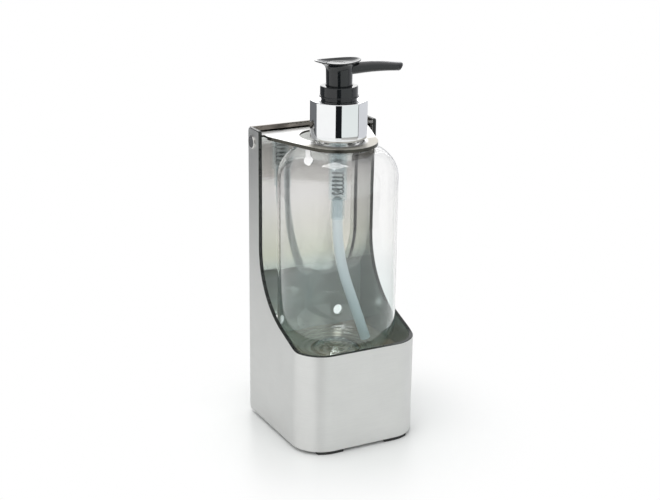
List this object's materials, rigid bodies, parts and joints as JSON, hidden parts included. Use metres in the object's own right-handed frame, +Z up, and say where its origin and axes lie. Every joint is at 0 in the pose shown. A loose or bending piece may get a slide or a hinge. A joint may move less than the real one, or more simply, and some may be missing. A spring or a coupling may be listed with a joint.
{
  "type": "wall mounted soap dispenser",
  "caption": "Folded steel wall holder with a hinged neck plate that keeps a round clear bottle with a chrome-collared lotion pump.",
  "frame": {"origin": "on the wall face of the back plate, midway between the two lower screw holes", "axes": "+Z up; +Y back into the wall, normal to the wall face; +X across the holder, the way the spout points at rest"},
  "size_m": [0.0823, 0.079, 0.2281],
  "materials": {
    "brushed_steel": "satin, brushed stainless sheet",
    "polished_steel": "polished stainless sheet",
    "rivet_steel": "polished steel",
    "chrome": "bright chrome plate",
    "spring_steel": "bright drawn wire",
    "clear_plastic": "clear blown bottle plastic",
    "milky_plastic": "translucent natural plastic",
    "white_seal": "soft white plastic",
    "black_plastic": "glossy black moulded plastic",
    "black_rubber": "matt black rubber"
  },
  "bodies": {
    "holder": {"holder_shell": "brushed_steel", "back_plate": "polished_steel", "bottle_shelf": "polished_steel", "base_plate": "brushed_steel", "rubber_feet": "black_rubber", "hinge_rivets": "rivet_steel", "hinge_washers": "rivet_steel", "bottle": "clear_plastic", "collar_shell": "chrome", "closure_insert": "black_plastic", "neck_gasket": "white_seal", "pump_housing": "milky_plastic", "lock_ring": "black_plastic", "return_spring": "spring_steel", "dip_tube": "milky_plastic"},
    "lid": {"lid_plate": "polished_steel"},
    "piston": {"piston": "white_seal"},
    "head": {"pump_head": "black_plastic", "plunger_stem": "milky_plastic"},
    "ball": {"check_ball": "rivet_steel"}
  },
  "joints": [
    {"name": "lid_lift", "type": "hinge", "parent": "holder", "child": "lid", "pos_m": [0, -0.006, 0.1179], "axis": [-1, 0, 0], "range_deg": [0, 2.3]},
    {"name": "head_press", "type": "slide", "parent": "holder", "child": "piston", "axis": [0, 0, -1], "range_m": [0, 0.0055], "stiffness_N_per_m": 900, "springref_m": -0.003, "deforming": ["return_spring"]},
    {"name": "head_swivel", "type": "hinge", "parent": "piston", "child": "head", "pos_m": [0, -0.04, 0.16], "axis": [0, 0, 1], "continuous": true},
    {"name": "valve_lift", "type": "slide", "parent": "holder", "child": "ball", "axis": [0, 0, 1], "range_m": [0, 0.0015]}
  ]
}
